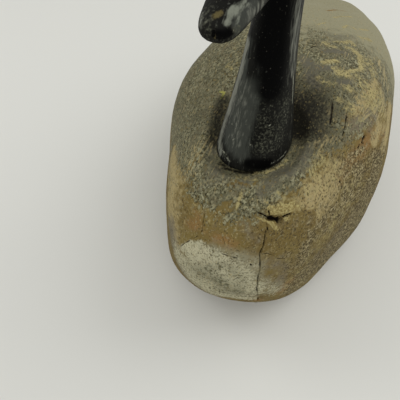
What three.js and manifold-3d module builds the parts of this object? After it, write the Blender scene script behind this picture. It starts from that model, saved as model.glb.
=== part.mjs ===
// Hand-carved hunting decoy of a goose, in millimetres, +Z up, facing -Y.
// Two pieces of wood: a body with a flat sawn underside, and one neck, head and bill
// that stands in a shallow oval seat cut into the shoulders.
// Lengths along the body are first taken from the front of the breast, towards the tail (+Y).
import * as THREE from "three";
import { mergeVertices } from "three/addons/utils/BufferGeometryUtils.js";
import Module from "manifold-3d";

// Body sizes
const BODY_LENGTH = 570;
const BODY_WIDTH = 246;
const BACK_HEIGHT = 194;
const SHOULDER_HEIGHT = 175;
const BREAST_POINT_HEIGHT = 90;
const BREAST_DEPTH = 82;
const HULL_BELOW_SAW_CUT = 9;
const TAIL_WIDTH = 62;
const TAIL_TOP_HEIGHT = 126;
const TAIL_THICKNESS = 24;
const TAIL_ROUNDING = 26;

// Neck, head and bill sizes; the crown and the bill tip are above the top of the neck,
// and the head and bill lengths run forward from the middle of the neck.
// The foot is whittled askew: its left side lies this much further back than its middle
const NECK_BEHIND_BREAST = 98;
const NECK_FOOT_WIDTH = 61.4;
const NECK_FOOT_DEPTH = 75;
const NECK_FOOT_ROUNDING = 2.5;
const NECK_FOOT_SKEW = 2.9;
const NECK_LENGTH = 124;
const THROAT_WIDTH = 30;
const THROAT_DEPTH = 38;
const HEAD_WIDTH = 46;
const HEAD_DEPTH = 57;
const HEAD_LENGTH = 70;
const CROWN_ABOVE_NECK = 71.7;
const HEAD_SIDEWAYS = 2.8;
const BILL_LENGTH = 50.5;
const BILL_ROOT_WIDTH = 31.5;
const BILL_ROOT_DEPTH = 27;
const BILL_TIP_WIDTH = 16.6;
const BILL_TIP_DEPTH = 11;
const BILL_TIP_ABOVE_NECK = 17.7;
const EYE_DIAMETER = 10;
const EYE_RISE = 1.6;

// Seat of the neck; turns are in degrees
const SEAT_SINK = 8.5;
const SEAT_TURN = 5.8;
const FIT_GAP = 0.3;
const COVE_WIDTH = 14;
const COVE_RISE = 14;
const COVE_STEEPEST = 65;

// How boxy the cross cuts are: 2 is an ellipse
const BACK_SQUARENESS = 3;
const BELLY_SQUARENESS = 3.76;
const NECK_SQUARENESS = 2.2;

// How blunt the end of the bill is: 1 is a half ellipse, more is squarer;
// and how much of the front half of the bill the rounding of its end takes up
const BILL_END_BLUNTNESS = 2;
const BILL_END_SHARE = 0.33;

// Mesh fineness
const BODY_RINGS = 50;
const BODY_SIDES = 52;
const RINGS_A_STATION = 6;
const FOOT_RINGS = 4;
const TIP_RINGS = 6;
const NECK_SIDES = 32;
const COVE_STEPS = 5;
const COVE_SIDES = 40;
const EYE_SIDES = 14;

const seatHeight = SHOULDER_HEIGHT - SEAT_SINK;
const neckFoot = seatHeight + FIT_GAP;
const neckTop = neckFoot + NECK_LENGTH;
const billRoot = NECK_BEHIND_BREAST - HEAD_LENGTH;
const { lerp, degToRad, clamp, smoothstep } = THREE.MathUtils;

const wasm = await Module();
wasm.setup();

// A smooth curve through [place, value] knots that never overshoots them.
function smoothThrough(knots, place) {
  const last = knots.length - 1;
  const slope = (i) => (knots[i + 1][1] - knots[i][1]) / (knots[i + 1][0] - knots[i][0]);
  const tangent = (i) => {
    if (i === 0) return slope(0);
    if (i === last) return slope(last - 1);
    const before = slope(i - 1);
    const after = slope(i);
    return before * after <= 0 ? 0 : (2 * before * after) / (before + after);
  };
  const x = clamp(place, knots[0][0], knots[last][0]);
  let i = 0;
  while (i < last - 1 && x > knots[i + 1][0]) i += 1;
  const span = knots[i + 1][0] - knots[i][0];
  const t = (x - knots[i][0]) / span;
  const rise = knots[i + 1][1] - knots[i][1];
  const a = span * tangent(i);
  const b = span * tangent(i + 1);
  return knots[i][1] + a * t + (3 * rise - 2 * a - b) * t * t + (a + b - 2 * rise) * t * t * t;
}

// 0 at the point of a rounded end and 1 from its far side on; a fullness of 2 is a quarter ellipse.
function roundedEnd(share, fullness) {
  const left = clamp(1 - share, 0, 1);
  return Math.sqrt(1 - Math.pow(left, fullness));
}

// A point of a squared-off ellipse: 2 is an ellipse, more is boxier.
function superellipse(angle, squareness) {
  const c = Math.cos(angle);
  const s = Math.sin(angle);
  return {
    across: Math.sign(c) * Math.pow(Math.abs(c), 2 / squareness),
    up: Math.sign(s) * Math.pow(Math.abs(s), 2 / squareness),
  };
}

// A closed skin over rings of points; each end is closed by a point at its ring's middle.
function skin(rings) {
  const sides = rings[0].length;
  const middle = (ring) => ring.reduce((sum, p) => sum.add(p), new THREE.Vector3()).divideScalar(sides);
  const points = [middle(rings[0]), ...rings.flat(), middle(rings[rings.length - 1])];
  const index = [];
  const at = (ring, side) => 1 + ring * sides + (side % sides);
  const end = points.length - 1;
  for (let side = 0; side < sides; side += 1) {
    index.push(0, at(0, side), at(0, side + 1));
    for (let ring = 0; ring < rings.length - 1; ring += 1) {
      const [a, b, c, d] = [at(ring, side), at(ring, side + 1), at(ring + 1, side + 1), at(ring + 1, side)];
      index.push(a, c, b, a, d, c);
    }
    index.push(end, at(rings.length - 1, side + 1), at(rings.length - 1, side));
  }
  const geometry = new THREE.BufferGeometry().setFromPoints(points);
  geometry.setIndex(index);
  return geometry;
}

function solid(geometry) {
  const bare = geometry.clone();
  bare.deleteAttribute("normal");
  bare.deleteAttribute("uv");
  const merged = mergeVertices(bare, 1e-4);
  const made = new wasm.Manifold(new wasm.Mesh({
    numProp: 3,
    vertProperties: new Float32Array(merged.attributes.position.array),
    triVerts: new Uint32Array(merged.index.array),
  }));
  return made.volume() < 0 ? solid(flipped(merged)) : made;
}

function flipped(geometry) {
  const turned = geometry.clone();
  const index = Array.from(geometry.index.array);
  for (let i = 0; i < index.length; i += 3) {
    [index[i], index[i + 1]] = [index[i + 1], index[i]];
  }
  turned.setIndex(index);
  return turned;
}

function meshOf(name, manifold, colour, roughness) {
  const { vertProperties, triVerts } = manifold.getMesh();
  const geometry = new THREE.BufferGeometry();
  geometry.setAttribute("position", new THREE.BufferAttribute(vertProperties, 3));
  geometry.setIndex(new THREE.BufferAttribute(triVerts, 1));
  geometry.computeVertexNormals();
  const material = new THREE.MeshStandardMaterial({ color: colour, roughness, metalness: 0 });
  const mesh = new THREE.Mesh(geometry, material);
  mesh.name = name;
  return mesh;
}

// Half widths, top, widest level and bottom of the body at a share of its length.
// The breast is round because the outline runs on the square root of that share,
// and the two flanks swell at slightly different places, as whittled by eye.
function bodySection(share) {
  const root = Math.sqrt(share);
  const outline = [
    [0, 0], [0.25, 0.456], [0.45, 0.77], [0.6, 0.998],
    [0.75, 1], [0.87, 0.808], [0.95, 0.56], [1, TAIL_WIDTH / BODY_WIDTH],
  ];
  const flank = (uneven) => (BODY_WIDTH / 2) * smoothThrough(outline, root + uneven * root * (1 - root));
  const seat = NECK_BEHIND_BREAST / BODY_LENGTH;
  const tailBottom = TAIL_TOP_HEIGHT - TAIL_THICKNESS;
  const top = smoothThrough([
    [0, SHOULDER_HEIGHT * 0.985],
    [0.08, SHOULDER_HEIGHT * 0.99],
    [seat, SHOULDER_HEIGHT],
    [0.38, BACK_HEIGHT],
    [0.68, BACK_HEIGHT * 0.88],
    [0.85, TAIL_TOP_HEIGHT * 1.135],
    [1, TAIL_TOP_HEIGHT],
  ], share);
  const level = smoothThrough([
    [0, BREAST_POINT_HEIGHT],
    [0.2, BACK_HEIGHT * 0.28],
    [0.5, BACK_HEIGHT * 0.28],
    [0.82, tailBottom],
    [1, tailBottom + TAIL_THICKNESS / 2],
  ], share);
  const belly = smoothThrough([
    [0, -HULL_BELOW_SAW_CUT],
    [0.6, -HULL_BELOW_SAW_CUT],
    [0.86, tailBottom * 0.55],
    [1, tailBottom],
  ], share);
  const breast = (share * BODY_LENGTH) / BREAST_DEPTH;
  const rise = roundedEnd(breast, 1.8);
  const drop = roundedEnd(breast * 1.06, 1);
  const close = roundedEnd(((1 - share) * BODY_LENGTH) / TAIL_ROUNDING, 2);
  return {
    right: flank(-0.06) * close,
    left: flank(0.06) * close,
    level,
    above: (BREAST_POINT_HEIGHT + (top - BREAST_POINT_HEIGHT) * rise - level) * close,
    below: (level - BREAST_POINT_HEIGHT - (belly - BREAST_POINT_HEIGHT) * drop) * close,
  };
}

function bodyRing(share) {
  const at = bodySection(share);
  const settled = smoothstep(share, 0, 0.09);
  return Array.from({ length: BODY_SIDES }, (_, side) => {
    const angle = (2 * Math.PI * (side + 0.5)) / BODY_SIDES;
    const upper = Math.sin(angle) > 0;
    const point = superellipse(angle, lerp(2, upper ? BACK_SQUARENESS : BELLY_SQUARENESS, settled));
    return new THREE.Vector3(
      point.across * (point.across > 0 ? at.left : at.right),
      share * BODY_LENGTH,
      at.level + point.up * (upper ? at.above : at.below),
    );
  });
}

// The rounded block, sawn flat at the height 0.
function carvedBody() {
  const rings = [];
  for (let i = 1; i < BODY_RINGS; i += 1) {
    rings.push(bodyRing((1 - Math.cos((Math.PI * i) / BODY_RINGS)) / 2));
  }
  const block = new THREE.BoxGeometry(2 * BODY_WIDTH, 2 * BODY_LENGTH, 2 * BACK_HEIGHT);
  block.translate(0, BODY_LENGTH / 2, BACK_HEIGHT);
  return solid(skin(rings)).intersect(solid(block));
}

// The outline of the neck's foot, let out by so much all round, at a level above the seat.
function footOutline(out, level) {
  return Array.from({ length: COVE_SIDES }, (_, side) => {
    const point = superellipse((2 * Math.PI * side) / COVE_SIDES, NECK_SQUARENESS);
    const back = point.up * (NECK_FOOT_DEPTH / 2 + out) + point.across * NECK_FOOT_SKEW;
    return new THREE.Vector3(point.across * (NECK_FOOT_WIDTH / 2 + out), back, level);
  });
}

// The flat seat with a hollow cove round it, where the gouge cleared the foot of the neck.
function seatCutter() {
  const floor = 3 * FIT_GAP;
  const rings = [footOutline(floor, 0)];
  for (let i = 1; i <= COVE_STEPS; i += 1) {
    const angle = (degToRad(COVE_STEEPEST) * i) / COVE_STEPS;
    rings.push(footOutline(floor + COVE_WIDTH * Math.sin(angle), COVE_RISE * (1 - Math.cos(angle))));
  }
  const rim = COVE_WIDTH * Math.sin(degToRad(COVE_STEEPEST));
  rings.push(footOutline(floor + rim + COVE_RISE, COVE_RISE * 3));
  const cutter = skin(rings);
  cutter.rotateX(degToRad(SEAT_TURN));
  cutter.translate(0, NECK_BEHIND_BREAST, seatHeight);
  return solid(cutter);
}

// One cut across the neck, head or bill: its middle, its half width, its half depth
// at the back or top and at the throat or underside, and how far the cut has turned from level.
// The head leans sideways by all of its lean at the top of the neck, and the bill comes back from it,
// a little past the middle at its tip.
function cut(y, z, halfWidth, top, under, turn, lean = 1) {
  const middle = new THREE.Vector3(HEAD_SIDEWAYS * lean, y, z);
  return { middle, halfWidth, top, under, turn };
}

function headCut() {
  const middle = (NECK_BEHIND_BREAST + billRoot) / 2 + HEAD_LENGTH * 0.06;
  const level = neckTop + CROWN_ABOVE_NECK - HEAD_DEPTH / 2;
  return cut(middle, level, HEAD_WIDTH / 2, HEAD_DEPTH / 2, HEAD_DEPTH * 0.47, 87);
}

function neckCuts() {
  return [0, 1 / 3, 2 / 3, 1].map((share) => {
    const taper = 1 - Math.pow(1 - share, 1.5);
    const halfWidth = lerp(NECK_FOOT_WIDTH, THROAT_WIDTH, taper) / 2;
    const halfDepth = lerp(NECK_FOOT_DEPTH, THROAT_DEPTH, taper) / 2;
    const height = neckFoot + NECK_LENGTH * share;
    const turn = lerp(SEAT_TURN, 9, share);
    return cut(NECK_BEHIND_BREAST, height, halfWidth, halfDepth, halfDepth, turn, share);
  });
}

// Cuts from the foot of the neck up over the head to the tip of the bill.
function cuts() {
  const head = headCut();
  const eyeLevel = head.middle.z;
  const tip = neckTop + BILL_TIP_ABOVE_NECK;
  const rootLevel = lerp(tip, eyeLevel, 0.64);
  const billWidth = (BILL_ROOT_WIDTH + BILL_TIP_WIDTH) / 2;
  const nape = cut(NECK_BEHIND_BREAST - HEAD_LENGTH * 0.1, eyeLevel - HEAD_DEPTH * 0.24,
    HEAD_WIDTH * 0.43, HEAD_DEPTH * 0.41, HEAD_DEPTH * 0.36, 50);
  const brow = cut(billRoot + HEAD_LENGTH * 0.21, lerp(rootLevel, eyeLevel, 0.5),
    HEAD_WIDTH * 0.41, HEAD_DEPTH * 0.36, HEAD_DEPTH * 0.33, 100);
  const bill = [
    cut(billRoot, rootLevel, BILL_ROOT_WIDTH / 2, BILL_ROOT_DEPTH / 2, BILL_ROOT_DEPTH / 2, 104, 0.9),
    cut(billRoot - BILL_LENGTH / 2, lerp(tip, rootLevel, 0.5),
      billWidth * 0.53, BILL_ROOT_DEPTH * 0.33, BILL_ROOT_DEPTH * 0.28, 104, 0.65),
    cut(billRoot - BILL_LENGTH, tip, BILL_TIP_WIDTH / 2, BILL_TIP_DEPTH / 2, BILL_TIP_DEPTH / 2, 104, -0.15),
  ];
  return [...neckCuts(), nape, head, brow, ...bill];
}

// Where rings go, as [share of the way along, how far in from the full girth, closing of the bill tip]:
// close together round the edge of the foot and over the end of the bill.
function neckRingPlaces(segments) {
  const places = [];
  const neckShare = (neckCuts().length - 1) / segments;
  for (let i = 0; i < FOOT_RINGS; i += 1) {
    const angle = ((Math.PI / 2) * i) / (FOOT_RINGS - 1);
    const rise = NECK_FOOT_ROUNDING * (1 - Math.cos(angle));
    places.push([(rise / NECK_LENGTH) * neckShare, NECK_FOOT_ROUNDING * (1 - Math.sin(angle)), 1]);
  }
  const tipStart = 1 - BILL_END_SHARE / segments;
  const steps = RINGS_A_STATION * segments;
  for (let i = 1; i / steps < tipStart; i += 1) places.push([i / steps, 0, 1]);
  for (let i = 0; i < TIP_RINGS; i += 1) {
    const angle = ((Math.PI / 2) * i) / TIP_RINGS;
    const closing = Math.pow(Math.cos(angle), 1 / BILL_END_BLUNTNESS);
    places.push([tipStart + (1 - tipStart) * Math.sin(angle), 0, closing]);
  }
  return places;
}

// The neck, head and bill; the skew of the foot dies out by the top of the neck.
function carvedNeck() {
  const along = cuts();
  const neckShare = (neckCuts().length - 1) / (along.length - 1);
  const through = (values) => new THREE.CatmullRomCurve3(along.map(values));
  const spine = through((at) => at.middle);
  const girth = through((at) => new THREE.Vector3(at.halfWidth, at.top, at.under));
  const turning = through((at) => new THREE.Vector3(at.turn, 0, 0));
  const rings = neckRingPlaces(along.length - 1).map(([share, inset, closing]) => {
    const middle = spine.getPoint(share);
    const turn = degToRad(turning.getPoint(share).x);
    const backward = new THREE.Vector3(0, Math.cos(turn), Math.sin(turn));
    const size = girth.getPoint(share).subScalar(inset).multiplyScalar(closing);
    const skew = NECK_FOOT_SKEW * (1 - smoothstep(share, 0, neckShare));
    return Array.from({ length: NECK_SIDES }, (_, side) => {
      const point = superellipse((2 * Math.PI * side) / NECK_SIDES, NECK_SQUARENESS);
      const back = point.up * (point.up > 0 ? size.y : size.z) + point.across * skew;
      return middle.clone()
        .add(new THREE.Vector3(point.across * size.x, 0, 0))
        .addScaledVector(backward, back);
    });
  });
  return solid(skin(rings));
}

// A low round eye on each side of the head, in the upper front of the cheek.
function eyes() {
  const head = headCut();
  const height = head.top * 0.2;
  const narrowing = 1 - Math.pow(height / head.top, NECK_SQUARENESS);
  const cheek = head.halfWidth * Math.pow(narrowing, 1 / NECK_SQUARENESS);
  return [-1, 1].map((hand) => {
    const eye = new THREE.SphereGeometry(1, EYE_SIDES, EYE_SIDES / 2 + 2);
    eye.scale(2 * EYE_RISE, EYE_DIAMETER / 2, EYE_DIAMETER / 2);
    eye.translate(
      head.middle.x + hand * (cheek - EYE_RISE),
      head.middle.y - HEAD_LENGTH * 0.08,
      head.middle.z + height,
    );
    return solid(eye);
  });
}

const body = carvedBody().subtract(seatCutter());
const neckAndHead = eyes().reduce((carving, eye) => carving.add(eye), carvedNeck());

const goose = new THREE.Group();
goose.add(meshOf("body", body, 0x8a7a55, 0.75));
goose.add(meshOf("neck_and_head", neckAndHead, 0x1c1c1b, 0.45));

// The origin is on the ground below the middle of the whole decoy.
const extent = new THREE.Box3().setFromObject(goose);
const centre = extent.getCenter(new THREE.Vector3());
goose.position.set(-centre.x, -centre.y, -extent.min.z);
goose.updateMatrixWorld(true);

export default goose;
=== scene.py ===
import math

import bpy
import numpy as np
from mathutils import Matrix, Vector, noise
from mathutils.bvhtree import BVHTree


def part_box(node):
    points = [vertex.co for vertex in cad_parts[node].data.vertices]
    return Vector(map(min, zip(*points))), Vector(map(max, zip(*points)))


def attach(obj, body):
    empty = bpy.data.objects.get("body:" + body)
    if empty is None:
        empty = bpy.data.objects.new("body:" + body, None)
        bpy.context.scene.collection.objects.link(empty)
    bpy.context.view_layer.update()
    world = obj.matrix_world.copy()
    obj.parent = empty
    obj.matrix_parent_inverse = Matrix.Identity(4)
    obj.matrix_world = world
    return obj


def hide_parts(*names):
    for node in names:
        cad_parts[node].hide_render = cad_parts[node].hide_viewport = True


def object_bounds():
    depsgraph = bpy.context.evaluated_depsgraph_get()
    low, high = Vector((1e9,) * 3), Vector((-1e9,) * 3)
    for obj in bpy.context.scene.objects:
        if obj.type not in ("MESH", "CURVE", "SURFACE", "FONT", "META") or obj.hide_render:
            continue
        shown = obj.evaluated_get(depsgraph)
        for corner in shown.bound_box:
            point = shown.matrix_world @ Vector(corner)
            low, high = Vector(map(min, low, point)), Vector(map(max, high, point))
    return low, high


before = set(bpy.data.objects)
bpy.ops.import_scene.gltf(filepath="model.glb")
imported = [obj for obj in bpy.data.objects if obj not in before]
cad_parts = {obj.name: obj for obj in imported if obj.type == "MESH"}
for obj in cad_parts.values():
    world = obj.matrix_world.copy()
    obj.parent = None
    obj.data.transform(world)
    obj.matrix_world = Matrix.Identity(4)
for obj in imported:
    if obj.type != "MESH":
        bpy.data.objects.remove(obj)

cad_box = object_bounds()

MM = 0.001
GROUND = cad_box[0].z
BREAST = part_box("body")[0].y

# The view of the photograph. Its width and focal length are in pixels, and so is a place of two
# numbers; one of three, as the camera's, is in mm from the front of the breast at ground level. The
# sensor, and how near something still shows, are in mm
PICTURE = 400
FOCAL_LENGTH = 409
CAMERA_PLACE = (51.7, -174.1, 383.5)
CAMERA_TILT = math.radians(46.83)
CAMERA_TURN = math.radians(20.03)
CAMERA_ROLL = math.radians(1.75)
SENSOR = 36
NEAREST_SEEN = 10

# How finely the wood is modelled, in mm, how near its points are welded, how often it is sanded, and
# how often and how far round a crack it is cut finer
BODY_GRAIN = 2.6
NECK_GRAIN = 1.3
WELD = 0.01
SANDING = 4
FINE_CUTS = 4
BODY_FINE_REACH = 3.5
NECK_FINE_REACH = 2.2

# How far years of handling have hollowed the carver's surface, as (size, depth) in mm, and over what
# height that comes in above the flat underside
BODY_HOLLOWS = ((38, 0.6), (9, 0.2))
NECK_HOLLOWS = ((22, 0.25), (7, 0.15))
FLAT_UNDERSIDE = 6

# What has split open, as (half width and depth in mm, places)
BODY_SPLITS = {
    "breast check": (0.8, 3.5, (266.5, 231), (265, 237), (264, 245), (261.5, 251), (259.8, 255),
                     (260.6, 262), (260.2, 270), (258.6, 276), (258.3, 283), (257.3, 290), (258, 301)),
    "fine check": (0.68, 1.4, (205, 211), (203, 219), (201.8, 228), (200.8, 232.5)),
    "fine check end": (0.42, 0.8, (199, 235), (191, 240), (184, 243.5), (180, 247)),
    "shelf 1": (0.6, 0.6, (220, 253.5), (229, 256.3), (238, 258.5), (245, 258.5)),
    "shelf 2": (0.5, 0.5, (261, 254.5), (268, 253.8), (275, 256)),
    "shelf 3": (0.5, 0.5, (277, 258.8), (287, 258.5)),
    "knot slit": (1.0, 3.0, (257, 212), (261, 213.5), (265, 215.5), (269, 217.5)),
    "knot gash": (2.4, 5.0, (268.5, 217.5), (272, 218.7), (276, 219.8), (281, 220.2)),
    "knot lobe": (1.6, 3.0, (277, 220.5), (278.7, 223.4)),
    "knot arm": (0.9, 2.5, (269.3, 210.5), (270.3, 215.5)),
    "knot spur": (1.0, 3.0, (283.5, 217.2), (288, 215), (291.2, 213.6)),
    "knot tail": (0.75, 1.6, (267, 223.3), (267.4, 226.5), (268, 230.6)),
    "shoulder check 1": (1.2, 1.5, (333, 101), (332.5, 113), (330.5, 124)),
    "shoulder check 2": (0.9, 1.2, (347, 114), (346, 124), (343, 136)),
    "shoulder nick 1": (1.3, 2.2, (365.5, 135.5), (363.5, 139), (362.5, 143)),
    "shoulder nick 2": (0.9, 1.5, (360, 145), (358.5, 148)),
    "flank nick 1": (1.5, 1.5, (340, 181), (341.5, 183)),
    "flank nick 2": (1.1, 1.0, (332.5, 207.5), (331.5, 209.5)),
    "front nick": (1.0, 1.0, (249, 216.5), (249.5, 217.8)),
    "breast pit": (1.0, 0.8, (250.5, 264.5), (252, 266)),
    "cove check": (0.5, 0.9, (291, 151), (298, 153)),
    "back check": (1.5, 1.5, (308, 42), (313, 43), (317, 43.5)),
    "back nick": (1.3, 1.2, (311, 47), (316, 45.5)),
}
NECK_SPLITS = {
    "bill notch": (0.9, 0.7, (212.5, 38), (213, 34), (213.5, 30)),
    "right of mouth": (0.7, 0.6, (-30, 4, 314), (-30, 18, 317), (-30, 32, 318), (-30, 42, 315)),
    "left of mouth": (0.7, 0.6, (34, 4, 314), (34, 18, 317), (34, 32, 318), (34, 42, 315)),
}

# How a crack's edges waver: over how many mm, by what share of its half width, and how many half
# widths out they are looked for; how it narrows towards its ends, and how quickly it turns dark with
# dirt and painted shade
CRACK_SWAY = 3.5
CRACK_UNEVENNESS = 0.5
CRACK_REACH = 2
CRACK_END_WIDTH = 0.4
CRACK_ENDS = 5
CRACK_DARKNESS = 3.8

# Slivers of torn wood that stand up beside the knot, as (width and height in mm, places)
KNOT_SLIVERS = (
    (1.6, 0.9, (256.5, 213.5), (262, 215.8), (267, 218.5)),
    (2.2, 0.9, (257.5, 217.5), (264, 220), (268.5, 222)),
    (2.8, 1.0, (270, 222), (274, 225), (276, 229)),
    (2.0, 0.8, (272, 212), (280, 209), (289, 206)),
    (1.6, 0.7, (274, 215.5), (283, 212.5)),
)

# The torn wood round the knot's gash, in mm: where it is whole and where it ends, how deep it lies,
# and the size and height of its shreds, which are drawn out along the gash
TORN_CORE = 1
TORN_REACH = 8
TORN_DEPTH = 1.2
TORN_DRAWING = 0.7
SHRED = (1.9, 1.4)

# Each pattern of lumps starts elsewhere
CRACK_SEED = 3
SHRED_SEED = 4
BORDER_SEED = 5
SEED_SHIFT = (7.3, 3.1, 5.7)

# Where the body's olive coat ends, in mm: its height, how that changes towards the goose's own left
# and right and behind, as (from, to, change), and how it wanders, as (size, reach)
COAT_BORDER = 147
BORDER_RISES_LEFT = (15, 60, 16)
BORDER_FALLS_RIGHT = (35, 95, -34)
BORDER_FALLS_BEHIND = (190, 330, -62)
BORDER_WANDERS = ((30, 7), (11, 5))
BORDER_SOFTNESS = 9

# How much of a coat is left: all worn off, whole, or what is left of the olive one
BARE = -1
WHOLE = 1
COAT_LEFT = 0.75

# The share of a stroke's half width that it covers fully
STROKE_CORE = 0.1
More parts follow.
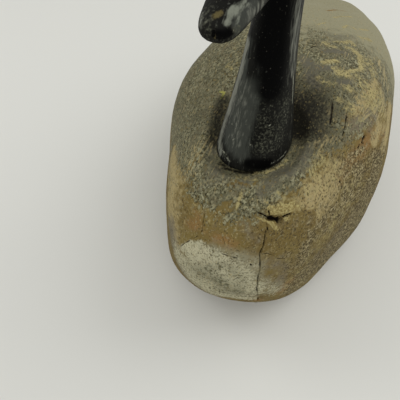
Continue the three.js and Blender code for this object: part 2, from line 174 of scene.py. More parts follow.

# The body's finishes and painted shade, as strokes of (width in mm, strength, places); a negative one
# wipes off
BODY_STROKES = {
    "olive": (
        (28, -0.95, (172, 152), (175, 176), (177, 192)),
        (12, -0.6, (222, 208), (229, 205), (236, 207)),
        (10, -0.45, (232, 183), (250, 185), (262, 184)),
        (14, -0.3, (196, 158), (186, 172)),
        (14, -0.4, (284, 200), (296, 196), (310, 184)),
        (36, -0.85, (314, 186), (328, 172), (344, 160)),
        (24, -0.85, (350, 166), (370, 146), (386, 124)),
        (28, -0.68, (350, 122), (366, 102), (378, 84)),
        (7, -0.9, (328, 10.5), (338, 9.5), (346, 11)),
        (16, 0.6, (188, 191), (205, 198), (214, 202)),
        (14, 0.6, (240, 206), (252, 207), (264, 203)),
        (20, 0.6, (280, 186), (292, 176), (304, 164)),
        (26, 0.8, (300, 150), (310, 130), (318, 108)),
        (26, -0.6, (-34, 582, 118), (0, 592, 116), (34, 582, 118)),
    ),
    "whitish": (
        (10, 0.9, (182, 248), (190, 244), (200, 244)),
        (22, 0.95, (190, 254), (204, 253), (216, 258)),
        (38, 0.85, (198, 262), (214, 272), (234, 280)),
        (34, 0.5, (218, 262), (232, 265), (246, 270)),
        (36, 0.62, (230, 279), (242, 284), (252, 287)),
        (32, 0.5, (206, 284), (226, 292), (252, 294)),
        (16, 0.6, (214, 292), (232, 297.5), (254, 299.5)),
        (46, 0.66, (178, 256), (184, 266), (191, 278), (202, 286), (214, 293)),
        (24, 0.5, (187, 264), (196, 276), (206, 285)),
        (30, 0.42, (262, 288), (276, 291)),
    ),
    "washed": (
        (36, 0.75, (218, 256), (236, 260), (253, 264)),
        (34, 0.8, (240, 270), (254, 278)),
        (28, 0.5, (266, 284), (280, 290)),
    ),
    "mottled": (
        (14, 0.4, (209, 269), (215, 267), (222, 265)),
        (12, 0.45, (230, 269), (238, 275), (243, 279)),
        (26, 0.42, (204, 272), (220, 281), (238, 288)),
        (16, 0.55, (217, 281), (225, 286)),
        (24, 0.3, (188, 262), (195, 272), (202, 281)),
        (20, 0.5, (214, 289), (240, 293)),
        (40, 0.15, (200, 262), (240, 270)),
    ),
    "pale_wood": (
        (54, 0.72, (172, 156), (171, 186), (170, 212), (173, 232)),
        (26, 0.9, (391, 92), (389, 118), (384, 146)),
        (28, 0.72, (379, 127), (375, 140)),
        (26, 0.75, (354, 106), (366, 94), (376, 82)),
        (50, 0.62, (314, 190), (328, 180), (338, 170)),
        (40, 0.6, (324, 212), (334, 196)),
        (40, 0.35, (181, 150), (180, 186), (181, 212)),
        (30, 0.5, (300, 204), (322, 196)),
        (24, 0.25, (196, 210), (212, 218)),
        (16, 0.4, (292, 282), (304, 272)),
    ),
    "dusty": (
        (44, 0.85, (171, 228), (173, 242), (177, 256), (184, 269)),
        (44, 0.8, (188, 276), (199, 286), (213, 293.5)),
        (30, 0.7, (196, 274), (210, 284), (230, 292), (250, 295)),
        (26, 0.7, (288, 166), (298, 158), (305, 160)),
        (32, 0.75, (352, 124), (364, 122), (374, 112)),
        (30, 0.55, (272, 264), (283, 268), (281, 282)),
        (20, 0.4, (246, 226), (256, 238)),
        (34, 0.75, (378, 160), (368, 190), (352, 218), (332, 242)),
        (26, 0.5, (318, 256), (300, 274)),
    ),
    "rust": (
        (20, 0.65, (188, 222), (196, 226)),
        (14, 0.5, (195, 213), (199, 219)),
        (18, 0.5, (206, 233), (218, 239), (230, 244)),
        (20, 0.55, (224, 241), (234, 245)),
        (20, 0.6, (310, 202), (322, 190)),
        (26, 0.7, (338, 182), (348, 168), (362, 158)),
        (22, 0.6, (350, 158), (366, 144)),
        (40, 0.5, (366, 140), (383, 132)),
        (30, 1, (284, 288), (298, 279)),
        (10, 1, (250, 299.5), (260, 300.5)),
        (26, 0.9, (368, 84), (373, 94)),
        (16, 0.7, (328, 10), (338, 9), (345, 11)),
    ),
    "streaked": (
        (28, 0.42, (362, 116), (370, 106), (376, 94)),
        (36, 0.5, (380, 88), (384, 104), (382, 120)),
        (30, 0.45, (380, 62), (387, 84)),
        (20, 0.4, (316, 150), (330, 138)),
        (34, 0.32, (188, 170), (196, 154), (206, 142)),
    ),
    "scuffed": (
        (13, 0.75, (325, 42), (330, 45), (335, 46.5)),
        (5, 0.8, (334, 41.5), (339, 41), (343, 41)),
        (13, 0.8, (345, 42.5), (350, 41), (354.5, 45)),
        (10, 0.7, (346, 47), (353, 48)),
        (16, 0.65, (361, 37), (370, 40)),
        (14, 0.85, (355, 51), (360, 57), (361.5, 68)),
        (13, 0.85, (324, 61.5), (330, 61), (336, 61)),
        (16, 0.8, (336, 69), (341, 73), (347, 74)),
        (9, 0.75, (349, 71), (355, 70), (361, 70)),
        (14, 0.7, (347, 87), (353, 90)),
        (30, 0.5, (367, 58), (373, 72)),
        (34, 0.56, (362, 80), (370, 90), (372, 100)),
        (16, 0.5, (318, 78), (326, 82), (333, 83)),
        (20, 0.5, (340, 100), (350, 106)),
        (9, 0.7, (227, 66), (233, 68)),
        (46, 0.3, (308, 194), (322, 180), (334, 170)),
        (24, 0.42, (312, 168), (323, 157)),
        (60, 0.3, (354, 188), (336, 222), (314, 252), (298, 274)),
        (14, 0.42, (236, 177), (252, 179), (266, 176)),
        (5, 0.95, (241, 194), (238.5, 201), (235, 209)),
        (9, 0.5, (281, 193), (284, 200)),
        (6.5, 1, (334, 17), (341, 16), (351, 16.5)),
        (6, 1, (343, 27.5), (347, 25)),
        (6, 1, (351, 26), (356, 29)),
        (6, 1, (360, 29), (368, 30)),
        (6, 0.9, (318, 24), (326, 22)),
        (4.5, 0.85, (254, 173), (265, 172), (274, 169.5), (282, 164.5), (288, 159)),
        (5, 0.6, (290, 152), (296, 150), (301, 147)),
        (24, 0.3, (362, 94), (368, 104)),
        (30, 0.5, (378, 86), (381, 104)),
        (26, 0.25, (352, 112), (362, 120)),
    ),
    "smooth_dark": (
        (16, 0.9, (327, 51), (338, 50), (346, 53)),
        (14, 0.9, (320, 68), (329, 68), (336, 67)),
        (26, 0.8, (306, 58), (312, 70), (314, 84)),
        (22, 0.42, (324, 32), (338, 37), (352, 36)),
        (14, 0.8, (338, 81), (349, 82)),
        (24, 0.5, (213, 148), (212, 164), (222, 176), (240, 181), (262, 180), (282, 172)),
        (26, 0.6, (286, 172), (300, 160), (308, 150)),
        (20, 0.5, (276, 184), (262, 193)),
        (20, 0.4, (214, 176), (204, 184)),
    ),
    "smooth_olive": ((26, 0.3, (205, 60), (196, 90)), (14, 0.5, (304, 28), (303, 42))),
    "pitted": (
        (60, 0.22, (312, 192), (332, 174), (352, 160)),
        (24, 0.34, (268, 208), (282, 210), (296, 206)),
        (76, 0.4, (368, 176), (352, 212), (328, 244), (304, 270)),
        (40, 0.26, (282, 232), (296, 244), (290, 262)),
    ),
    "stippled": (
        (70, 0.85, (378, 166), (364, 202), (348, 228), (326, 256), (302, 280)),
        (70, 0.62, (352, 182), (336, 206), (318, 232), (302, 258)),
        (40, 0.35, (332, 164), (352, 156)),
        (50, 0.5, (364, 160), (356, 190), (338, 220)),
        (44, 0.5, (374, 52), (384, 80), (384, 104)),
        (36, 0.5, (314, 262), (300, 276), (290, 290)),
    ),
    # Dark grime, with painted shadow of the neck on the back beside it and painted shade in the cove and
    # seam round its foot
    "grime_and_neck_shade": (
        (110, 0.55, (305, 124), (311, 98)),
        (56, 0.7, (301, 126), (305, 106)),
        (26, 0.9, (299, 130), (301, 112)),
        (24, 0.75, (223, 100), (217, 122), (214, 142)),
        (6, 1, (220, 162.5), (226, 167.5), (234, 170.5), (245, 172.3), (254, 172.5)),
        (12, 0.4, (218, 168), (230, 174), (244, 176)),
        (60, 0.45, (0, 140, 180), (0, 170, 186)),
        (56, 0.22, (200, 102), (196, 124)),
    ),
    "lichen": ((6, 0.9, (220.5, 91), (223, 92), (223.5, 94)), (4, 0.8, (221, 98), (223, 96))),
    "fresh": (
        (22, 0.5, (270, 209), (282, 208), (296, 205)),
        (12, 0.6, (272, 213), (282, 210.5), (290, 208)),
        (2.4, 1, (256.5, 213.5), (262, 215.8), (267, 218.5)),
        (5, 0.9, (257.5, 217.5), (264, 220), (268, 222)),
        (7, 1, (270, 222), (274, 225.5), (276, 229.5)),
        (6, 0.7, (283, 220), (288, 218)),
    ),
}

# What spreads over the body without strokes, as (where it begins, where it is whole) in mm: smooth
# olive paint behind, stipple low on the flanks and bare sawn wood underneath
SMOOTH_BEHIND = (225, 330)
SMOOTH_LEFT = 0.9
STIPPLE_BELOW = (130, 60)
STIPPLE_BEHIND = (60, 130)
STIPPLE_LEFT = 0.4
SAWN_BELOW = (1.5, 0.2)

# The neck's and bill's finishes, with their painted light and shadow, given in the same way
NECK_STROKES = {
    # Rubbed grey paint, with painted light on the neck's lit left side and the bill's top
    "rubbed_and_lit": (
        (34, 1, (240, 92), (235, 118), (232, 140)),
        (24, 0.85, (254, 88), (248, 112), (242, 136)),
        (18, 0.62, (262, 66), (260, 92)),
        (28, 0.9, (234, 138), (240, 152)),
        (10, 0.8, (250, 40), (247, 56), (243, 76)),
        (12, 0.9, (256, 4), (246, 16), (238, 26)),
    ),
    "lit_edge": (
        (13, 0.9, (247, 42), (244, 54), (239.5, 74), (234.5, 90), (230, 104)),
        (18, 0.7, (229, 108), (223, 126), (219.5, 140), (220, 150)),
        (24, 0.47, (299, 4), (297, 28), (295, 46), (294, 70)),
        (9, 0.5, (264, 2), (257, 10), (250, 18)),
        (5, 0.45, (201.5, 14), (200.5, 26)),
        (30, 0.26, (242, 92), (237, 118), (234, 142)),
    ),
    # Painted shadow: the head's shadow down the neck's front, the shade in the seam at its foot and
    # under the bill's tip
    "painted_shade": (
        (40, 1, (276, 6), (273, 30), (273, 60), (270, 88)),
        (14, 0.9, (264, 40), (262, 60)),
        (3.4, 0.8, (252, 28), (250, 44), (248, 58)),
        (18, 0.95, (268, 164), (250, 164)),
        (9, 1, (219, 36), (230, 34)),
    ),
    "flaked": (
        (34, 0.33, (287, 102), (283, 122), (276, 142)),
        (26, 0.28, (264, 126), (259, 150)),
        (24, 0.24, (270, 96), (262, 112)),
        (9, 0.5, (237, 31), (231, 35)),
        (12, 0.36, (207, 10), (206, 24), (209, 34)),
        (8, 0.45, (224, 152), (228, 160)),
    ),
    "pale_line": (
        (2.6, 1, (293.6, 76), (293.2, 92), (292.6, 104)),
        (2.2, 0.5, (292.2, 108), (291.2, 124), (290.1, 140)),
        (2.2, 0.7, (286.5, 150.5), (283, 156), (277.5, 160.5), (271, 163.5)),
        (1.2, 0.9, (231, 141), (235.5, 138.5)),
        (2.0, 0.9, (231.5, 124), (232.5, 124)),
        (1.6, 0.9, (236, 104.5), (237, 104.5)),
        (1.6, 0.8, (241, 93), (242, 95)),
        (1.6, 0.9, (269, 126), (271, 124.5)),
        (1.5, 0.9, (286.5, 113), (285, 117)),
        (1.4, 0.8, (250, 145), (252, 143)),
        (1.8, 0.9, (222.5, 150.5), (224.5, 153.5)),
        (2.4, 0.9, (226.5, 157.5), (228.5, 160.5)),
    ),
    # Worn grey paint on the bill, with a painted sheen of light from above
    "worn_grey_and_sheen": (
        (8, 0.62, (246, 2), (239, 6), (233, 12)),
        (6, 0.62, (234, 9), (229.5, 16), (227, 21)),
        (4.6, 0.42, (241, 17), (236, 23)),
    ),
    "ochre": ((6, 0.8, (216, 15), (220, 13)), (2.4, 1, (213.4, 32), (213.8, 38))),
    "cheek": ((30, 0.8, (34, 60, 330), (34, 74, 318)), (30, 0.8, (-30, 60, 330), (-30, 74, 318))),
}

# The mix node's sockets for the colour under a coat, for the coat's own and for what comes out
COLOUR_UNDER = 6
COLOUR_OVER = 7
COLOUR_RESULT = 2

# How rough the patterns and the finishes are, and how strongly relief shades
PATTERN_ROUGHNESS = 0.6
RELIEF_STRENGTH = 0.8
WOOD_ROUGHNESS = 0.85
COAT_ON_WOOD_ROUGHNESS = -0.15
ENAMEL_ROUGHNESS = 0.5
BOARD_ROUGHNESS = 0.8

# The studio, in metres: its floor, and where its lamps shine; and how bright its walls are
FLOOR = 30
LAMPS_AIM = Vector((0, 0, 0.15))
ROOM_LIGHT = 0.66


def from_breast(x, y, z):
    """A place given in mm from the front of the breast, at ground level."""
    return Vector((x * MM, BREAST + y * MM, GROUND + z * MM))


def photographer():
    """Adds the camera where the photograph was taken from, close above the breast."""
    forward = Vector((
        -math.sin(CAMERA_TURN) * math.cos(CAMERA_TILT),
        math.cos(CAMERA_TURN) * math.cos(CAMERA_TILT),
        -math.sin(CAMERA_TILT),
    ))
    level = Vector((math.cos(CAMERA_TURN), math.sin(CAMERA_TURN), 0))
    rise = level.cross(forward)
    right = level * math.cos(CAMERA_ROLL) + rise * math.sin(CAMERA_ROLL)
    up = rise * math.cos(CAMERA_ROLL) - level * math.sin(CAMERA_ROLL)
    place = from_breast(*CAMERA_PLACE)
    bpy.ops.object.camera_add()
    made = bpy.context.object
    made.matrix_world = Matrix((
        (right.x, up.x, -forward.x, place.x),
        (right.y, up.y, -forward.y, place.y),
        (right.z, up.z, -forward.z, place.z),
        (0, 0, 0, 1),
    ))
    made.data.sensor_width = SENSOR
    made.data.lens = SENSOR * FOCAL_LENGTH / PICTURE
    made.data.clip_start = NEAREST_SEEN * MM
    bpy.context.scene.camera = made
    return made


camera = photographer()


def only(piece):
    """Selects one piece and nothing else."""
    bpy.ops.object.select_all(action="DESELECT")
    piece.select_set(True)
    bpy.context.view_layer.objects.active = piece


def finish_with(piece, kind, **settings):
    """Gives a piece a modifier and applies it."""
    only(piece)
    modifier = piece.modifiers.new(kind.lower(), kind)
    for name, value in settings.items():
        setattr(modifier, name, value)
    bpy.ops.object.modifier_apply(modifier=modifier.name)


def blank_from(node, name, grain):
    """A fine, even skin over a CAD node's form, ready for carving."""
    piece = bpy.data.objects.new(name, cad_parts[node].data.copy())
    bpy.context.collection.objects.link(piece)
    only(piece)
    bpy.ops.object.mode_set(mode="EDIT")
    bpy.ops.mesh.select_all(action="SELECT")
    bpy.ops.mesh.remove_doubles(threshold=WELD * MM)
    bpy.ops.mesh.normals_make_consistent(inside=False)
    bpy.ops.object.mode_set(mode="OBJECT")
    finish_with(piece, "REMESH", mode="VOXEL", voxel_size=grain * MM, use_smooth_shade=True)
    finish_with(piece, "SMOOTH", iterations=SANDING)
    return piece


def points_of(piece):
    points = np.zeros(len(piece.data.vertices) * 3)
    piece.data.vertices.foreach_get("co", points)
    return points.reshape(-1, 3)


def normals_of(piece):
    normals = np.zeros(len(piece.data.vertices) * 3)
    piece.data.vertex_normals.foreach_get("vector", normals)
    return normals.reshape(-1, 3)


def move_points(piece, points):
    piece.data.vertices.foreach_set("co", points.ravel())
    piece.data.update()


def surface_of(piece):
    """What the photograph's places are found on."""
    mesh = piece.data
    return BVHTree.FromPolygons([v.co for v in mesh.vertices], [p.vertices for p in mesh.polygons])


def seen_on(surface, place):
    """A point on a surface: where the photograph shows it, or nearest to a place from the breast."""
    if len(place) == 3:
        return surface.find_nearest(from_breast(*place))[0]
    view = camera.matrix_world
    across, down = place
    sight = Vector((across - PICTURE / 2, PICTURE / 2 - down, -FOCAL_LENGTH))
    found = surface.ray_cast(view.translation, (view.to_3x3() @ sight).normalized())[0]
    if found is None:
        raise ValueError(f"nothing of this piece shows at {across}, {down}")
    return found


def smooth_step(low, high, values):
    share = np.clip((values - low) / (high - low), 0, 1)
    return share * share * (3 - 2 * share)


def between(low, high, share):
    return low + (high - low) * share


def distance_along(points, route):
    """How far each point is from a route, and how far along the route its nearest place is."""
    nearest = np.full(len(points), np.inf)
    along = np.zeros(len(points))
    walked = 0.0
    for start, end in zip(route, route[1:]):
        step = np.array(end - start)
        length = np.linalg.norm(step)
        share = np.clip((points - start) @ step / length**2, 0, 1)
        distance = np.linalg.norm(points - start - share[:, None] * step, axis=1)
        closer = distance < nearest
        nearest = np.where(closer, distance, nearest)
        along = np.where(closer, walked + share * length, along)
        walked += length
    return nearest, along


def lumps(points, size, seed):
    """Smooth bumps between -1 and 1 that are about this many mm apart."""
    shift = seed * Vector(SEED_SHIFT)
    return np.array([noise.noise(Vector(point) / (size * MM) + shift) for point in points])


def refine(piece, routes, reach):
    """Cuts the faces near some routes finer, where narrow cracks and slivers go."""
    points = points_of(piece)
    near = np.zeros(len(points), bool)
    for route in routes:
        near |= distance_along(points, route)[0] < reach * MM
    only(piece)
    bpy.ops.object.mode_set(mode="EDIT")
    bpy.ops.mesh.select_mode(type="VERT")
    bpy.ops.mesh.select_all(action="DESELECT")
    bpy.ops.object.mode_set(mode="OBJECT")
    piece.data.vertices.foreach_set("select", near)
    bpy.ops.object.mode_set(mode="EDIT")
    bpy.ops.mesh.subdivide(number_cuts=FINE_CUTS, smoothness=0)
    bpy.ops.mesh.select_all(action="DESELECT")
    bpy.ops.object.mode_set(mode="OBJECT")
    finish_with(piece, "TRIANGULATE", min_vertices=5)


def hollow(piece, hollows):
    """Wears a piece's surface away unevenly, always inwards and never on its flat underside."""
    points = points_of(piece)
    worn = np.zeros(len(points))
    for seed, (size, depth) in enumerate(hollows):
        worn += depth * (1 + lumps(points, size, seed)) / 2
    worn *= smooth_step(0, FLAT_UNDERSIDE, (points[:, 2] - GROUND) / MM)
    return points - normals_of(piece) * (worn * MM)[:, None]


def split_open(points, routes):
    """How many mm cracks with uneven edges and narrow ends open, and how far in each point is."""
    opened = np.zeros(len(points))
    depth_in = np.zeros(len(points))
    for half_width, depth, route in routes:
        distance, along = distance_along(points, route)
        near = distance < CRACK_REACH * half_width * MM
        sway = np.zeros(len(points))
        sway[near] = lumps(points[near], CRACK_SWAY, CRACK_SEED)
        edge = half_width * MM * (1 + CRACK_UNEVENNESS * sway)
        to_end = np.minimum(along, along.max() - along) / along.max()
        narrowing = np.clip(CRACK_END_WIDTH + CRACK_ENDS * to_end, 0, 1)
        share = np.clip(1 - distance / edge, 0, 1) * narrowing
        opened = np.maximum(opened, depth * np.sqrt(share))
        depth_in = np.maximum(depth_in, share)
    return opened, depth_in


def keep_layer(piece, layer, values):
    piece.data.attributes.new(layer, "FLOAT", "POINT").data.foreach_set("value", values)


# Cracks turn dark with dirt and painted shade, darker deeper in
def darken_cracks(piece, depth_in):
    keep_layer(piece, "crack", np.minimum(BARE + CRACK_DARKNESS * depth_in, WHOLE))


def brush(piece, surface, all_strokes, starts):
    """Brushes each layer of paint, wear, dirt, painted light and painted shade on or off by its strokes,
    over what it starts from.
    """
    points = points_of(piece)
    for layer, strokes in all_strokes.items():
        cover = np.zeros(len(points)) + starts.get(layer, BARE)
        for width, strength, *places in strokes:
            distance = distance_along(points, [seen_on(surface, place) for place in places])[0]
            touch = abs(strength) * (1 - smooth_step(STROKE_CORE, 1, distance / (width * MM / 2)))
            aim = WHOLE if strength > 0 else BARE
            cover += (aim - cover) * touch
        keep_layer(piece, layer, cover)


def routes_of(surface, splits):
    """Splits or slivers, with their places found on a surface."""
    routes = []
    for width, depth, *places in splits:
        routes.append((width, depth, [seen_on(surface, place) for place in places]))
    return routes


def torn_wood(points, gash, slivers):
    """How many mm the wood round the knot's gash stands up, or has been torn away."""
    torn = 1 - smooth_step(TORN_CORE, TORN_REACH, distance_along(points, gash)[0] / MM)
    along_gash = np.array((gash[1] - gash[0]).normalized())
    near = torn > 0
    drawn_out = points[near] - TORN_DRAWING * (points[near] @ along_gash)[:, None] * along_gash
    shreds = np.zeros(len(points))
    size, height = SHRED
    shreds[near] = height * lumps(drawn_out, size, SHRED_SEED)
    rise = torn * (shreds - TORN_DEPTH)
    for width, height, route in slivers:
        distance = distance_along(points, route)[0]
        rise += height * (1 - smooth_step(0, width / 2, distance / MM))
    return rise


def carve_body():
    """The body, with its hollows, its checks along the grain and the torn knot on its breast."""
    piece = blank_from("body", "goose_body", BODY_GRAIN)
    surface = surface_of(piece)
    splits = routes_of(surface, BODY_SPLITS.values())
    slivers = routes_of(surface, KNOT_SLIVERS)
    # The torn wood lies along one line, from where the slit begins to where the gash ends
    ends = BODY_SPLITS["knot slit"][2], BODY_SPLITS["knot gash"][-1]
    gash = [seen_on(surface, place) for place in ends]
    refine(piece, [route for width, depth, route in (*splits, *slivers)], BODY_FINE_REACH)
    points = hollow(piece, BODY_HOLLOWS)
    rise = torn_wood(points, gash, slivers)
    opened, depth_in = split_open(points, splits)
    points = points + normals_of(piece) * ((rise - opened) * MM)[:, None]
    points[:, 2] = np.maximum(points[:, 2], GROUND)
    move_points(piece, points)
    darken_cracks(piece, depth_in)
    return piece, surface


def paint_body(piece, surface):
    """Lays the body's paint, wear, dirt and painted shade round the neck, with an olive coat that ends
    lower on one flank and behind.
    """
    points = points_of(piece)
    across = points[:, 0] / MM
    back = (points[:, 1] - BREAST) / MM
    height = (points[:, 2] - GROUND) / MM
    border = COAT_BORDER
    for place, (near, far, change) in (
        (across, BORDER_RISES_LEFT), (-across, BORDER_FALLS_RIGHT), (back, BORDER_FALLS_BEHIND),
    ):
        border = border + change * smooth_step(near, far, place)
    for seed, (size, reach) in enumerate(BORDER_WANDERS, BORDER_SEED):
        border = border + reach * lumps(points, size, seed)
    coated = smooth_step(-BORDER_SOFTNESS, BORDER_SOFTNESS, height - border)
    low_flank = smooth_step(*STIPPLE_BELOW, height) * smooth_step(*STIPPLE_BEHIND, back)
    brush(piece, surface, BODY_STROKES, {
        "olive": between(BARE, COAT_LEFT, coated),
        "smooth_olive": between(BARE, SMOOTH_LEFT, smooth_step(*SMOOTH_BEHIND, back)),
        "stippled": between(BARE, STIPPLE_LEFT, low_flank),
    })
    keep_layer(piece, "sawn", between(BARE, WHOLE, smooth_step(*SAWN_BELOW, height)))


def carve_neck():
    """The neck, head and bill, with their hollows, the mouth line and the notch in the bill's tip."""
    piece = blank_from("neck_and_head", "goose_neck_and_head", NECK_GRAIN)
    surface = surface_of(piece)
    splits = routes_of(surface, NECK_SPLITS.values())
    refine(piece, [route for width, depth, route in splits], NECK_FINE_REACH)
    points = hollow(piece, NECK_HOLLOWS)
    opened, depth_in = split_open(points, splits)
    move_points(piece, points - normals_of(piece) * (opened * MM)[:, None])
    darken_cracks(piece, depth_in)
    return piece, surface


def linear(shade):
    """An sRGB colour, as #rrggbb, turned to the linear values of a shader."""
    parts = [int(shade[start:start + 2], 16) / 255 for start in (1, 3, 5)]
    return (*[part / 12.92 if part <= 0.04045 else ((part + 0.055) / 1.055) ** 2.4 for part in parts], 1)


def add(tree, kind, inputs=None, **settings):
    """Adds a node with its settings, and its inputs as values or links."""
    made = tree.nodes.new(kind)
    for name, value in settings.items():
        setattr(made, name, value)
    for socket, value in (inputs or {}).items():
        if isinstance(value, bpy.types.NodeSocket):
            tree.links.new(value, made.inputs[socket])
        else:
            made.inputs[socket].default_value = value
    return made


def weathering(tree, patterns):
    """The patterns that break up a finish, each from (size in mm, detail, how it is drawn out)."""
    place = add(tree, "ShaderNodeTexCoord").outputs["Object"]
    made = {}
    for name, (size, detail, stretch) in patterns.items():
        drawn = add(tree, "ShaderNodeMapping", {"Vector": place, "Scale": stretch}).outputs[0]
        inputs = {"Vector": drawn, "Scale": 1 / (size * MM), "Detail": detail}
        inputs["Roughness"] = PATTERN_ROUGHNESS
        made[name] = add(tree, "ShaderNodeTexNoise", inputs).outputs["Fac"]
    return made


def left_standing(tree, cover, pattern, ragged, edge):
    """Where a coat is left, from its cover, as a number or a brushed layer, broken up by a pattern."""
    if isinstance(cover, str):
        cover = add(tree, "ShaderNodeAttribute", attribute_name=cover).outputs["Fac"]
    level = add(tree, "ShaderNodeMath", {0: pattern, 1: ragged, 2: cover}, operation="MULTIPLY_ADD")
    limits = {0: level.outputs[0], 1: ragged / 2 - edge, 2: ragged / 2 + edge}
    return add(tree, "ShaderNodeMapRange", limits, interpolation_type="SMOOTHSTEP").outputs[0]


def lay_coats(tree, under, patterns, *coats):
    """Lays worn coats over a colour, each as (cover, pattern, raggedness, softness of edge, colour)."""
    for cover, pattern, ragged, edge, paint in coats:
        share = left_standing(tree, cover, patterns[pattern], ragged, edge)
        over = linear(paint) if isinstance(paint, str) else paint
        inputs = {0: share, COLOUR_UNDER: under, COLOUR_OVER: over}
        under = add(tree, "ShaderNodeMix", inputs, data_type="RGBA").outputs[COLOUR_RESULT]
    return under


def new_finish(name, specular):
    material = bpy.data.materials.new(name)
    material.use_nodes = True
    shader = material.node_tree.nodes["Principled BSDF"]
    shader.inputs["Specular IOR Level"].default_value = specular
    return material, material.node_tree, shader


def relief(tree, shader, *parts, depth):
    """Shades the parts of a surface as if raised, each as (height, share), to a depth in mm."""
    height = 0.0
    for pattern, share in parts:
        inputs = {0: pattern, 1: share, 2: height}
        height = add(tree, "ShaderNodeMath", inputs, operation="MULTIPLY_ADD").outputs[0]
    inputs = {"Height": height, "Strength": RELIEF_STRENGTH, "Distance": depth * MM}
    bump = add(tree, "ShaderNodeBump", inputs)
    tree.links.new(bump.outputs[0], shader.inputs["Normal"])


def worn_body_paint():
    """Flat oil paint on white cedar: dull, gritty, rubbed through to tan wood and a chalky breast."""
    material, tree, shader = new_finish("worn body paint", specular=0.1)
    # The real grit and grain are finer, and drawn as coarse as they need to show
    patterns = weathering(tree, {
        "cloud": (34, 3, (1, 1, 1)),
        "drift": (15, 4, (1, 0.8, 1)),
        "patch": (8, 4, (1, 0.7, 1)),
        "flake": (4, 3, (1, 0.8, 1)),
        "speck": (2.3, 2, (1, 0.55, 1)),
        "dot": (1.7, 1, (1, 0.8, 1)),
        "fibre": (1.6, 3, (1, 0.08, 1)),
    })
    white = lay_coats(
        tree, linear("#b0ab8e"), patterns,
        (-0.1, "drift", 5, 1, "#98957c"),
        (-0.35, "speck", 5, 0.9, "#cac4a6"),
        (-0.7, "dot", 5, 0.7, "#7a765e"),
        ("mottled", "speck", 5, 0.9, "#62614d"),
    )
    gritty = lay_coats(
        tree, linear("#605d45"), patterns,
        (-0.25, "speck", 5, 0.55, "#a5a282"),
        (-0.3, "dot", 5, 0.5, "#2a291a"),
    )
    olive = lay_coats(
        tree, linear("#535240"), patterns,
        (0, "cloud", 5, 1, "#62604a"),
        (-0.4, "patch", 5, 0.9, "#685f47"),
        (-0.65, "dot", 5, 0.7, "#37341f"),
        (-0.7, "speck", 5, 0.7, "#928c6d"),
        (-0.1, "drift", 4, 0.9, gritty),
        ("smooth_olive", "patch", 3, 0.7, "#8b876c"),
        ("smooth_dark", "patch", 3, 0.9, "#5d5a4c"),
    )
    grit = lay_coats(
        tree, linear("#64593e"), patterns,
        (-0.25, "speck", 6, 0.5, "#a99d78"),
        (-0.3, "dot", 6, 0.4, "#2a2416"),
    )
    scuff = lay_coats(
        tree, linear("#a69b6b"), patterns,
        (0, "patch", 5, 1, "#958a60"),
        (-0.45, "dot", 5, 0.6, "#5f5738"),
    )
    fresh = lay_coats(tree, linear("#7f6f44"), patterns, (0, "dot", 5, 0.9, "#a69a69"))
    coat_left = left_standing(tree, "olive", patterns["speck"], ragged=4.2, edge=0.5)
    wood = lay_coats(
        tree, linear("#75663b"), patterns,
        (0, "cloud", 5, 1, "#675732"),
        (-0.8, "fibre", 4, 0.9, "#84744b"),
        ("rust", "patch", 3, 0.9, "#82653d"),
        ("pale_wood", "flake", 2.5, 0.6, "#a19268"),
        ("dusty", "patch", 3, 0.9, "#706959"),
        (-1, "dot", 5, 0.5, "#463b22"),
        ("washed", "patch", 2.5, 1, "#858068"),
        ("whitish", "patch", 2.5, 0.9, "#87846c"),
        ("whitish", "speck", 5, 0.6, white),
        ("stippled", "patch", 4, 0.8, grit),
        ("pitted", "dot", 5, 0.8, "#4a402b"),
    )
    inputs = {0: coat_left, COLOUR_UNDER: wood, COLOUR_OVER: olive}
    coated = add(tree, "ShaderNodeMix", inputs, data_type="RGBA")
    colour = lay_coats(
        tree, coated.outputs[COLOUR_RESULT], patterns,
        ("streaked", "fibre", 6, 0.6, "#9d9068"),
        ("scuffed", "flake", 4, 0.7, scuff),
        ("lichen", "speck", 2, 0.5, "#9c9a50"),
        # Near-black grime, with the neck's painted shadow and painted shade round its foot
        ("grime_and_neck_shade", "speck", 3, 1, "#14120a"),
        ("sawn", "fibre", 0.6, 0.4, "#7d7052"),
        ("fresh", "speck", 4, 0.5, fresh),
        # Dirt and painted shade down in the cracks and the knot's gash
        ("crack", "dot", 0.5, 0.7, "#120c06"),
    )
    tree.links.new(colour, shader.inputs["Base Color"])
    inputs = {0: coat_left, 1: COAT_ON_WOOD_ROUGHNESS, 2: WOOD_ROUGHNESS}
    dullness = add(tree, "ShaderNodeMath", inputs, operation="MULTIPLY_ADD")
    tree.links.new(dullness.outputs[0], shader.inputs["Roughness"])
    relief(tree, shader, (coat_left, 0.4), (patterns["speck"], 1), (patterns["fibre"], 0.5), depth=0.4)
    return material


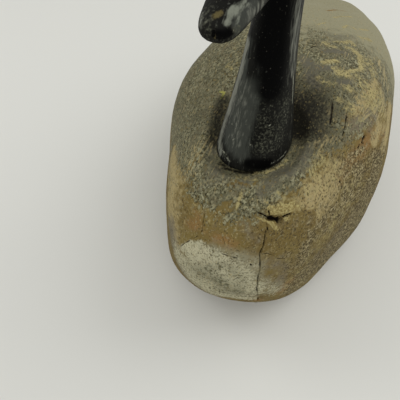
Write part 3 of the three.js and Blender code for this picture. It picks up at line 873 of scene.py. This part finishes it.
def black_neck_paint():
    """Black enamel over carved cedar: satin grey where hands have rubbed it, flaked and scratched, with
    painted light on its lit side, edges and bill and painted shadow under the head.
    """
    material, tree, shader = new_finish("black neck paint", specular=0.04)
    shader.inputs["Roughness"].default_value = ENAMEL_ROUGHNESS
    # The real scratches and chips are finer, and drawn as coarse as they need to show
    patterns = weathering(tree, {
        "cloud": (14, 3, (1, 1, 1)),
        "streak": (1.6, 3, (1, 1, 0.1)),
        "chip": (1.6, 2, (1, 1, 1)),
        "smear": (2.4, 3, (1, 0.25, 0.5)),
    })
    colour = lay_coats(
        tree, linear("#10100e"), patterns,
        (0, "cloud", 4, 0.8, "#1b1b18"),
        # Rubbed grey paint, with painted light on the lit side
        ("rubbed_and_lit", "streak", 2.2, 0.8, "#3b3d38"),
        ("flaked", "chip", 3.5, 0.6, "#505145"),
        ("lit_edge", "streak", 3.4, 0.7, "#74756b"),
        # Painted shadow under the head, in the seam at the neck's foot and under the bill's tip
        ("painted_shade", "cloud", 1.5, 0.8, "#020202"),
        ("pale_line", "chip", 1.5, 0.5, "#8a8b7c"),
        # Worn grey paint, with a painted sheen on the bill
        ("worn_grey_and_sheen", "smear", 3, 0.5, "#777a6e"),
        ("ochre", "chip", 2, 0.6, "#5c5335"),
        ("cheek", "chip", 3, 0.5, "#a8a592"),
        # Dirt and painted shade down in the mouth lines and the bill's notch
        ("crack", "chip", 0.3, 0.4, "#020201"),
    )
    tree.links.new(colour, shader.inputs["Base Color"])
    relief(tree, shader, (patterns["streak"], 0.6), (patterns["chip"], 0.5), depth=0.25)
    return material


def pale_floor():
    """A matt white studio board, which takes soft shadows and shows no glare."""
    bpy.ops.mesh.primitive_plane_add(size=FLOOR, location=(0, 0, GROUND))
    board = bpy.context.object
    board.name = "pale_floor"
    material, tree, shader = new_finish("matt white board", specular=0.2)
    shader.inputs["Base Color"].default_value = linear("#d6d6d1")
    shader.inputs["Roughness"].default_value = BOARD_ROUGHNESS
    board.data.materials.append(material)


def soft_box(name, place, size, power):
    """A large square lamp that shines at the goose."""
    light = bpy.data.lights.new(name, "AREA")
    light.size = size
    light.energy = power
    lamp = bpy.data.objects.new(name, light)
    lamp.location = place
    towards = LAMPS_AIM - lamp.location
    lamp.rotation_euler = towards.to_track_quat("-Z", "Y").to_euler()
    bpy.context.collection.objects.link(lamp)


def studio():
    """The pale floor, three soft lamps and the even light of a white room."""
    pale_floor()
    soft_box("left_box", (-1.7, -0.2, 1.5), size=1.0, power=7)
    soft_box("front_box", (0.5, -1.8, 1.6), size=1.6, power=12)
    soft_box("ceiling_box", (1.5, 1.3, 1.8), size=2.4, power=27)
    room = bpy.data.worlds.new("pale room")
    room.use_nodes = True
    walls = room.node_tree.nodes["Background"]
    walls.inputs["Color"].default_value = linear("#fbfbf8")
    walls.inputs["Strength"].default_value = ROOM_LIGHT
    bpy.context.scene.world = room
    bpy.context.scene.view_settings.view_transform = "Standard"


body, body_surface = carve_body()
paint_body(body, body_surface)
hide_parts("body")

neck, neck_surface = carve_neck()
brush(neck, neck_surface, NECK_STROKES, {})
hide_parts("neck_and_head")

for piece, finish in ((body, worn_body_paint()), (neck, black_neck_paint())):
    piece.data.materials.clear()
    piece.data.materials.append(finish)
    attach(piece, "root")
studio()
